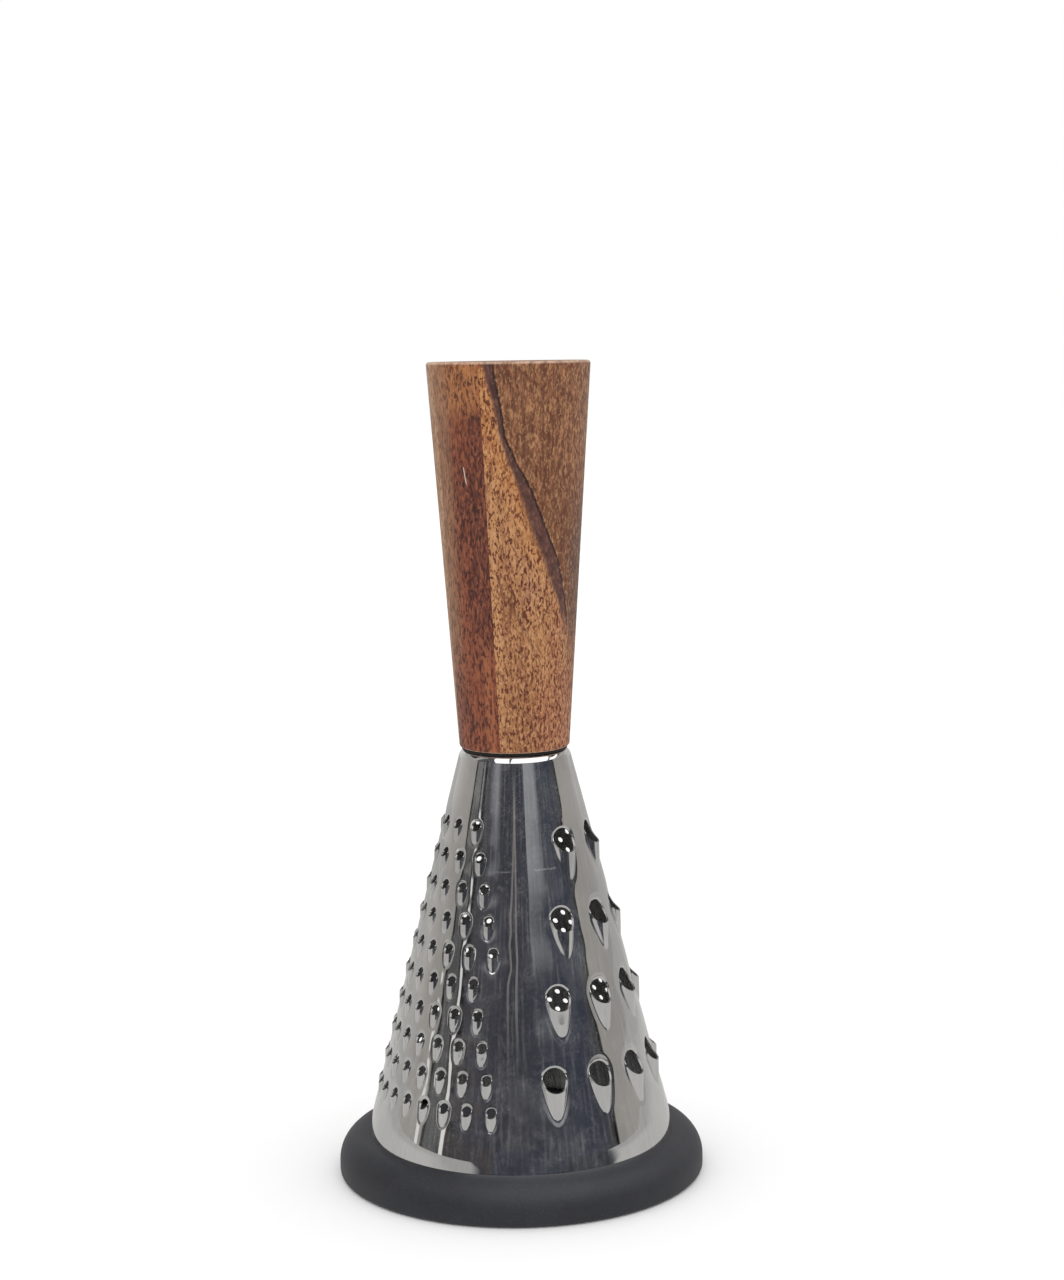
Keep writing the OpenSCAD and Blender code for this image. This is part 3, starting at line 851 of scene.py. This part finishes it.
def walled(name, points, normals, faces, thickness, finishes):
    """A sheet given its thickness: outer face, inner face and the cut edges between them."""
    count = len(points)
    # A dictionary keeps the edges in the order in which the faces use them
    used = dict.fromkeys((a, b) for face in faces for a, b in zip(face, (*face[1:], face[0])))
    cut = [(a, b) for a, b in used if (b, a) not in used]
    back = [tuple(i + count for i in reversed(face)) for face in faces]
    edges = [(b, a, a + count, b + count) for a, b in cut]
    whole = np.concatenate([points, points - normals * thickness]) * MM
    mesh = bpy.data.meshes.new(name)
    mesh.from_pydata([tuple(p) for p in whole], [], [*faces, *back, *edges])
    for finish in finishes:
        mesh.materials.append(finish)
    slots = [0] * len(faces) + [1] * len(back) + [2] * len(edges)
    mesh.polygons.foreach_set("material_index", slots)
    edge_out = np.zeros((2 * count, 3))
    for a, b in cut:
        side = np.cross(points[b] - points[a], normals[a] + normals[b])
        edge_out[[a, b, a + count, b + count]] += side / np.linalg.norm(side)
    size = np.linalg.norm(edge_out, axis=1)
    edge_out[size > 0] /= size[size > 0][:, None]
    sheet_out = np.concatenate([normals, -normals])
    facing = [
        tuple((edge_out if slots[polygon.index] == 2 else sheet_out)[i])
        for polygon in mesh.polygons
        for i in polygon.vertices
    ]
    mesh.polygons.foreach_set("use_smooth", [True] * len(mesh.polygons))
    mesh.normals_split_custom_set(facing)
    return into_scene(name, mesh)


# Handle
HANDLE_Z, HANDLE_TOP_Z = 127.6, 240.0
HANDLE_FOOT_R, HANDLE_TOP_R = 16.15, 23.85
FOOT_EASE, TOP_EASE, EASE_STEPS = 1.0, 0.9, 8
STAVE_TURN = math.radians(-33)
LEFT_GLUE, RIGHT_GLUE = -11.5, 5.1
GLUE_BEVEL = 0.09
BORE_R, BORE_Z = 4.05, 142.6

# The gasket's section, squeezed out a little over the cone's shoulder
GASKET = [
    (PASS_R, 127.2), (13.4, 127.2), (14.5, 127.04), (15.2, 126.85), (15.42, 126.95), (15.5, 127.25),
    (15.42, 127.52), (15.2, 127.6), (PASS_R, 127.6), (PASS_R, 127.2),
]

# The dark streak on the right stave: height, turn of its right edge from the front in degrees, and width
STREAK = [
    (239.0, -10.1, 2.9), (233.0, -8.2, 2.3), (227.9, -5.4, 1.9), (218.8, -2.6, 1.4), (212.3, 4.7, 2.2),
    (204.4, 15.9, 3.5), (196.1, 25.6, 4.4), (189.9, 33.2, 4.9), (183.4, 42.2, 4.8), (177.3, 47.8, 4.4),
    (171.5, 52.9, 3.0), (165.0, 57.6, 2.1),
]


def handle_profile():
    """The turned handle from the middle of its bore, round its foot and over its top."""
    slope = (HANDLE_TOP_R - HANDLE_FOOT_R) / (HANDLE_TOP_Z - HANDLE_Z)
    lean = math.atan(slope)
    line = [(0, BORE_Z), (BORE_R, BORE_Z), (BORE_R, HANDLE_Z)]
    for z, ease, first, last in (
        (HANDLE_Z + FOOT_EASE, FOOT_EASE, -math.pi / 2, -lean),
        (HANDLE_TOP_Z - TOP_EASE, TOP_EASE, -lean, math.pi / 2),
    ):
        middle = HANDLE_FOOT_R + slope * (z - HANDLE_Z) - ease / math.cos(lean)
        for i in range(EASE_STEPS + 1):
            a = first + (last - first) * i / EASE_STEPS
            line.append((middle + ease * math.cos(a), z + ease * math.sin(a)))
    return [*line, (0, HANDLE_TOP_Z)]


def turned(line, around):
    """A closed solid turned about the axis, in millimetres, from a profile that ends on it or is a loop."""
    shape = bmesh.new()
    rings = []
    for r, z in line:
        if rings and (r, z) == line[0]:
            rings.append(rings[0])
        elif r == 0:
            rings.append([shape.verts.new((0, 0, z))] * around)
        else:
            rings.append([shape.verts.new((r * math.cos(a), r * math.sin(a), z)) for a in full_turn(around)])
    for low, high in zip(rings, rings[1:]):
        for i in range(around):
            j = (i + 1) % around
            # A corner on the axis counts once
            shape.faces.new(dict.fromkeys((low[i], low[j], high[j], high[i])))
    return shape


def finished(shape, name, finish, angle):
    """Puts a mesh drawn in millimetres into the scene, smooth except at its edges."""
    bmesh.ops.recalc_face_normals(shape, faces=shape.faces)
    if shape.calc_volume(signed=True) < 0:
        bmesh.ops.reverse_faces(shape, faces=shape.faces)
    for vertex in shape.verts:
        vertex.co *= MM
    mesh = bpy.data.meshes.new(name)
    shape.to_mesh(mesh)
    shape.free()
    mesh.materials.append(finish)
    mesh.polygons.foreach_set("use_smooth", [True] * len(mesh.polygons))
    mesh.set_sharp_from_angle(angle=math.radians(angle))
    return into_scene(name, mesh)


def stave(name, low, high, finish):
    """The part of the turned handle between two glue planes, its edges there eased."""
    shape = turned(handle_profile(), 160)
    across = Vector((math.cos(STAVE_TURN), math.sin(STAVE_TURN), 0))
    for place, keep in ((low, 1), (high, -1)):
        if place is None:
            continue
        cut = bmesh.ops.bisect_plane(
            shape,
            geom=[*shape.verts, *shape.edges, *shape.faces],
            plane_co=across * place,
            plane_no=across * keep,
            clear_inner=True,
        )
        rim = [item for item in cut["geom_cut"] if isinstance(item, bmesh.types.BMEdge)]
        filled = bmesh.ops.holes_fill(shape, edges=rim, sides=0)["faces"]
        edge = {item for face in filled for item in face.edges}
        bmesh.ops.bevel(shape, geom=list(edge), offset=GLUE_BEVEL, segments=1, affect="EDGES")
    return finished(shape, name, finish, 35)


def smooth_copy(node, name, finish):
    """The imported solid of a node, its loose triangles welded and shaded smooth between its edges."""
    shape = bmesh.new()
    shape.from_mesh(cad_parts[node].data)
    bmesh.ops.remove_doubles(shape, verts=shape.verts, dist=1e-6)
    bmesh.ops.dissolve_degenerate(shape, edges=shape.edges, dist=1e-7)
    for vertex in shape.verts:
        vertex.co /= MM
    return finished(shape, name, finish, 30)


# Wood, rubber, brass and the screw's steel
def wood_finish(name, tones, seed, pore_scale, pore_depth, figure):
    """Oiled wood with its grain up the handle: close short dark pores, growth bands and cloudy colour."""
    made = new_material(name)
    net = made[1]
    place, east, north, height = place_parts(net)

    def grain(where, scale, detail, rough, twist=0.0, output=0):
        shift = (seed * 13.7, seed * 7.1, seed * 3.3)
        return noise(net, stretched(net, where, scale, shift), 1.0, detail, rough, twist, output)

    def vector(operation, first, second):
        return net.make("ShaderNodeVectorMath", {"operation": operation}, {0: first, 1: second})

    # The grain wanders to and fro as it climbs
    waver = vector("SUBTRACT", grain(place, (0.03, 0.03, 0.02), 2.0, 0.5, output=1), (0.5, 0.5, 0.5))
    grain_place = vector("ADD", place, vector("MULTIPLY", waver, (9, 9, 0)))
    bands = grain(grain_place, (0.22, 0.22, 0.012), 4.0, 0.62)
    lines = grain(grain_place, (1.1, 1.1, 0.03), 3.0, 0.6)
    cloud = grain(place, (0.09, 0.09, 0.05), 3.0, 0.6)
    mottle = grain(place, (0.5, 0.5, 0.3), 3.0, 0.65)
    light, pale, clouded, pore, fleck = tones
    colour = (bands * 0.65 + lines * 0.2 + mottle * 0.15).rise(0.36, 0.62).blend(light, pale)
    colour = cloud.rise(0.5, 0.68).blend(colour, clouded)
    # Pores are short dark strokes that stand closer in some clouds, with pale flecks between them
    wind = grain(place, pore_scale, 1.5, 0.55, 0.7)
    pores = wind.rise(0.51, 0.60) * (cloud.rise(0.25, 0.5) * 0.35 + 0.65)
    reach = reach_of(east, north)
    wood = {
        "turn": turn_of(east, north) * DEGREES, "reach": reach, "height": height, "mottle": mottle,
        "lines": lines,
        "across": east * math.cos(STAVE_TURN) + north * math.sin(STAVE_TURN) + (bands - 0.5) * 5,
    }
    colour, clear = figure(colour, **wood)
    colour = (wind.fade(0.34, 0.47) * clear * 0.55).blend(colour, fleck)
    colour = (pores * pore_depth * clear).blend(colour, pore)
    # Painted highlight: the light that the eased edges at the top and the foot catch is painted into the
    # colour as a pale rim
    rim = height.rise(239.1, 239.6) * reach.rise(22.2, 23.0) + height.fade(127.75, 128.1)
    colour = (rim * (mottle.rise(0.3, 0.6) * 0.5 + 0.2)).blend(colour, rgba(222, 190, 166))
    rough = 0.4 + mottle * 0.16 + pores * 0.2
    bumps = mottle * 0.25 + lines * 0.35 - pores * 0.3
    return coat(made, colour, rough, 0.0, bumps, 0.00006, 0.6, Coat_Weight=0.12, Coat_Roughness=0.28)


def painted(colour, *layers):
    """Lays colours over a colour one after another, each where its mask says."""
    for mask, tone in layers:
        colour = mask.blend(colour, tone)
    return colour


# A figure paints what is a stave's own over its colour, and says how clear its pores stand there
def plain_figure(colour, **wood):
    return colour, 0.75


def red_figure(colour, turn, reach, across, height, mottle, lines):
    """The red stave: tan sapwood on its left, golden at the top, and a darker wedge along the glue line."""
    wander = (lines - 0.5) * 12
    golden = (height + wander).rise(222, 230)
    wedge = across.rise(-0.5, 2.0) * (height + wander).fade(222, 230) * height.rise(146, 170)
    warm = across.span(0.5, 2.0, 3.6, 4.6) * height.fade(150, 164)
    tan = across.fade(-8.5, -3.5) * height.rise(140, 168)
    # One short pale scratch
    off = (turn + 36.8 - (210.4 - height) * 0.4) * reach * (1 / DEGREES)
    scratch = abs(off).fade(0.08, 0.26) * height.span(205, 206, 210, 211)
    clouds = mottle.rise(0.3, 0.7)
    colour = painted(
        colour,
        (golden * 0.9, clouds.blend(rgba(150, 90, 48), rgba(190, 126, 72))),
        (wedge * 0.6, rgba(96, 46, 34)),
        (warm * 0.75, rgba(176, 102, 62)),
        (tan * 0.8, clouds.blend(rgba(134, 92, 64), rgba(172, 126, 90))),
        (scratch * 0.8, rgba(232, 214, 200)),
    )
    return colour, (1.0 - tan * 0.4) * (1.0 - scratch)


def golden_figure(colour, turn, reach, across, height, mottle, lines):
    """The golden stave: a black line with a purple-brown band on its left, and duller wood on its right."""
    low, high = STREAK[-1][0], STREAK[0][0]
    # The ramp holds the streak's turn in its red and its width in its green, both brought to 0 to 1
    stops = [((z - low) / (high - low), ((a + 90) / 180, wide / 10, 0)) for z, a, wide in reversed(STREAK)]
    line = height.make("ShaderNodeValToRGB", {"stops": stops}, {0: (height - low) / (high - low)})
    streak_turn = height.make("ShaderNodeSeparateColor", inputs={0: line})
    width = streak_turn.other(1) * 10
    past = (turn - (streak_turn * 180 - 90)) * reach * (1 / DEGREES) + (mottle - 0.5) * 1.3
    fading = height.rise(157, 170)
    band = (past / width).rise(-1.3, -0.75) * past.fade(-0.1, 0.35) * fading
    edge = abs(past + 0.1).fade(0.15, 0.55) * fading
    dull = past.rise(-0.4, 1.2) * height.rise(140, 165)
    warm = past.span(-13, -3, -3.2, -2) * height.rise(176, 190)
    low_right = turn.rise(18, 25) * height.fade(147, 154)
    stripe = turn.span(34, 39, 47, 51) * height.fade(166, 174)
    plain = (mottle * 0.6 + lines * 0.4).rise(0.38, 0.62).blend(rgba(94, 50, 31), rgba(136, 86, 55))
    lit = dull * height.rise(200, 216) * (mottle * 0.5 + lines * 0.5).rise(0.42, 0.6)
    smoky = past.rise(-1, 2) * turn.rise(46, 62) * height.span(156, 168, 182, 206)
    # A second, faint line crosses the golden part lower down
    second = turn + 10.3 - (177.8 - height) * 1.5 + (mottle - 0.5) * 7
    second = abs(second).fade(0.6, 2.6) * height.span(154, 160, 177, 180)
    colour = painted(
        colour,
        (warm * 0.9, mottle.rise(0.3, 0.7).blend(rgba(172, 102, 52), rgba(206, 140, 78))),
        (turn.sum("MAXIMUM", low_right, stripe) * 0.8, rgba(164, 100, 64)),
        (dull * 0.88, plain),
        (lit * 0.4, rgba(184, 128, 84)),
        (smoky * 0.7, rgba(92, 66, 54)),
        (second * 0.6, rgba(112, 66, 46)),
        (band * 0.93, mottle.rise(0.32, 0.68).blend(rgba(62, 34, 38), rgba(98, 58, 56))),
        (edge * 0.9, rgba(34, 20, 22)),
    )
    return colour, (1.0 - band * 0.75) * (1.0 - dull * 0.35)


def rubber_finish(name, tone, speck, rough):
    """Matte moulded rubber with a fine sand texture and a little dust."""
    made = new_material(name)
    net = made[1]
    place = place_parts(net)[0]
    sand = noise(net, place, 3.2, 3.0, 0.7)
    cloud = noise(net, place, 0.07, 3.0, 0.6)
    specks = net.make(
        "ShaderNodeTexVoronoi", {"feature": "F1"}, {"Vector": place, "Scale": 0.9, "Randomness": 1.0}
    )
    dust = specks.fade(0.05, 0.13) * cloud.rise(0.45, 0.62)
    colour = cloud.rise(0.35, 0.65).blend(tone, tuple(c * 1.22 for c in tone[:3]) + (1,))
    colour = (sand.rise(0.5, 0.75) * 0.35 + dust * 0.5).blend(colour, speck)
    return coat(made, colour, rough + sand * 0.12, 0.0, sand, 0.00012, 0.5)


def fastener_finish(name, colour, other, pitch, thread_r):
    """Turned metal: fine rings left by the tool, and a thread's turns on what is thinner than thread_r."""
    made = new_material(name)
    net = made[1]
    place, east, north, height = place_parts(net)
    reach = reach_of(east, north)
    rings = noise(net, net.make("ShaderNodeCombineXYZ", inputs={0: reach * 3, 1: height * 3}), 1.0, 4.0, 0.7)
    stain = noise(net, place, 0.5, 3.0, 0.6)
    winding = height * (2 * math.pi / pitch) + turn_of(east, north)
    helix = net.sum("SINE", winding) * reach.fade(thread_r, thread_r + 0.05)
    tone = (rings * 0.5 + stain * 0.5).rise(0.35, 0.65).blend(colour, other)
    return coat(made, tone, 0.22 + rings * 0.2, 1.0, rings * 0.12 + helix, 0.00025, 0.7)


def dress(piece, node):
    """Rides a piece on the frame in place of a node's solid."""
    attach(piece, "root")
    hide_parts(node)


# Assembly
make_camera()
make_room()
make_floor()

dress(grating_cone(), "grating_cone")

# Each wood's two growth tones, its cloud, its pores and its flecks
TAN = (rgba(146, 100, 68), rgba(174, 128, 90), rgba(182, 138, 100), rgba(92, 54, 36), rgba(206, 168, 128))
RED = (rgba(98, 42, 26), rgba(148, 76, 44), rgba(116, 56, 34), rgba(60, 22, 16), rgba(168, 98, 60))
GOLD = (rgba(158, 100, 60), rgba(198, 140, 90), rgba(180, 124, 88), rgba(104, 50, 28), rgba(216, 166, 116))
tan_wood = wood_finish("tan_wood", TAN, 3, (1.7, 1.7, 0.6), 0.6, plain_figure)
red_wood = wood_finish("red_wood", RED, 1, (1.55, 1.55, 0.5), 0.85, red_figure)
golden_wood = wood_finish("golden_wood", GOLD, 2, (1.6, 1.6, 0.68), 1.0, golden_figure)
for node, low, high, finish, slot in (
    ("handle_stave_left", None, LEFT_GLUE, tan_wood, "wood_left"),
    ("handle_stave_middle", LEFT_GLUE, RIGHT_GLUE, red_wood, "wood_middle"),
    ("handle_stave_right", RIGHT_GLUE, None, golden_wood, "wood_right"),
):
    dress(stave(node + "_wood", low, high, finish), node)

silicone = rubber_finish("charcoal_silicone", rgba(37, 38, 44), rgba(90, 91, 96), 0.5)
rubber = rubber_finish("black_rubber", rgba(22, 22, 23), rgba(60, 60, 62), 0.55)
brass = fastener_finish("turned_brass", (0.66, 0.47, 0.2, 1), (0.72, 0.55, 0.28, 1), 1.5, 3.0)
plated = fastener_finish("plated_steel", (0.55, 0.55, 0.56, 1), (0.68, 0.68, 0.67, 1), 0.8, 2.45)
dress(finished(turned(GASKET, 96), "seat_gasket_rubber", rubber, 50), "seat_gasket")
for node, finish, slot in (
    ("foot_ring", silicone, "foot_silicone"),
    ("threaded_insert", brass, "insert_brass"),
    ("flat_washer", plated, "fastener_steel"),
    ("spring_washer", plated, "fastener_steel"),
    ("fixing_screw", plated, "fastener_steel"),
):
    dress(smooth_copy(node, node + "_surface", finish), node)
